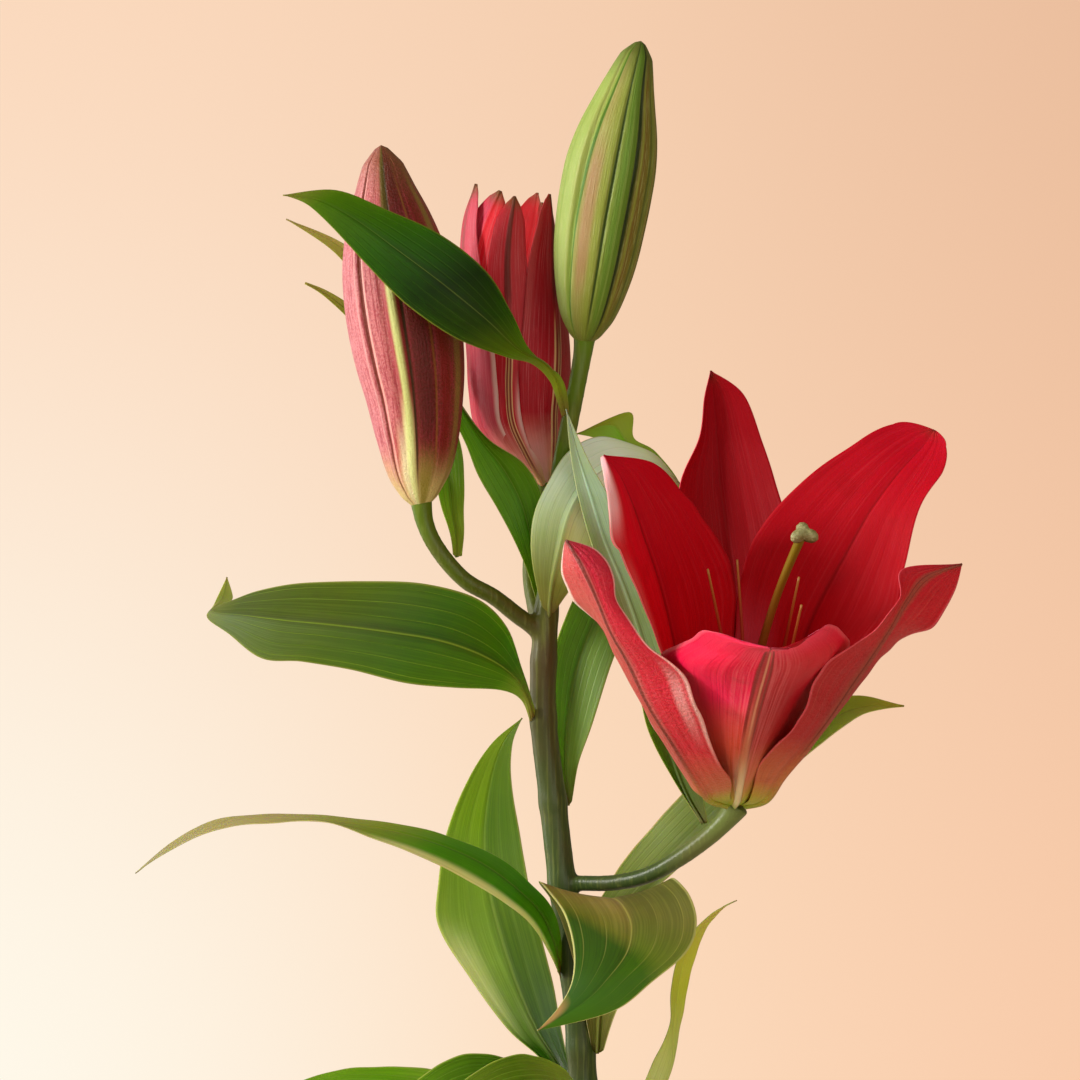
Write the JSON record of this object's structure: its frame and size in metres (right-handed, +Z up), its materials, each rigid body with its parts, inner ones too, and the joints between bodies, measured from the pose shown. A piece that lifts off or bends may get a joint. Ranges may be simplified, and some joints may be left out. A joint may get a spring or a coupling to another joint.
{
  "type": "oriental lily in vase",
  "caption": "Cut oriental lily stem with an open red flower, closed and opening buds and lance-shaped leaves, standing in water in a plain white bottle vase.",
  "frame": {"origin": "centre of the vase's underside", "axes": "+Z up, -Y towards the viewer at the front, +X to the viewer's right"},
  "size_m": [0.2594, 0.2131, 0.6024],
  "materials": {
    "vase": "satin",
    "water": "polished",
    "stem": "satin",
    "leaf": "satin",
    "leaf_pale": "satin",
    "bud_green": "satin",
    "bud_pink": "satin",
    "bud_red": "satin",
    "tepal": "satin",
    "pistil": "satin",
    "stamen": "satin"
  },
  "bodies": {
    "root": {"vase": "vase", "water": "water", "stem": "stem", "bud_green_top": "bud_green", "bud_pink_left": "bud_pink", "bud_opening": "bud_red", "pistil": "pistil", "stamens": "stamen", "tepal_outer_back": "tepal", "tepal_outer_right": "tepal", "tepal_outer_left": "tepal", "tepal_inner_right": "tepal", "tepal_inner_left": "tepal", "tepal_inner_front": "tepal", "bract_top": "leaf", "bract_flower": "leaf_pale", "bract_fork": "leaf_pale", "bract_left_bud": "leaf", "leaf_back_upright": "leaf", "leaf_slim_left": "leaf", "leaf_broad_left": "leaf", "leaf_long_left": "leaf", "leaf_tall_left": "leaf", "leaf_curled_front": "leaf", "leaf_back_right": "leaf", "leaf_low_right": "leaf", "leaf_low_left": "leaf", "leaf_low_front": "leaf", "leaf_low_far_left": "leaf"}
  },
  "joints": []
}
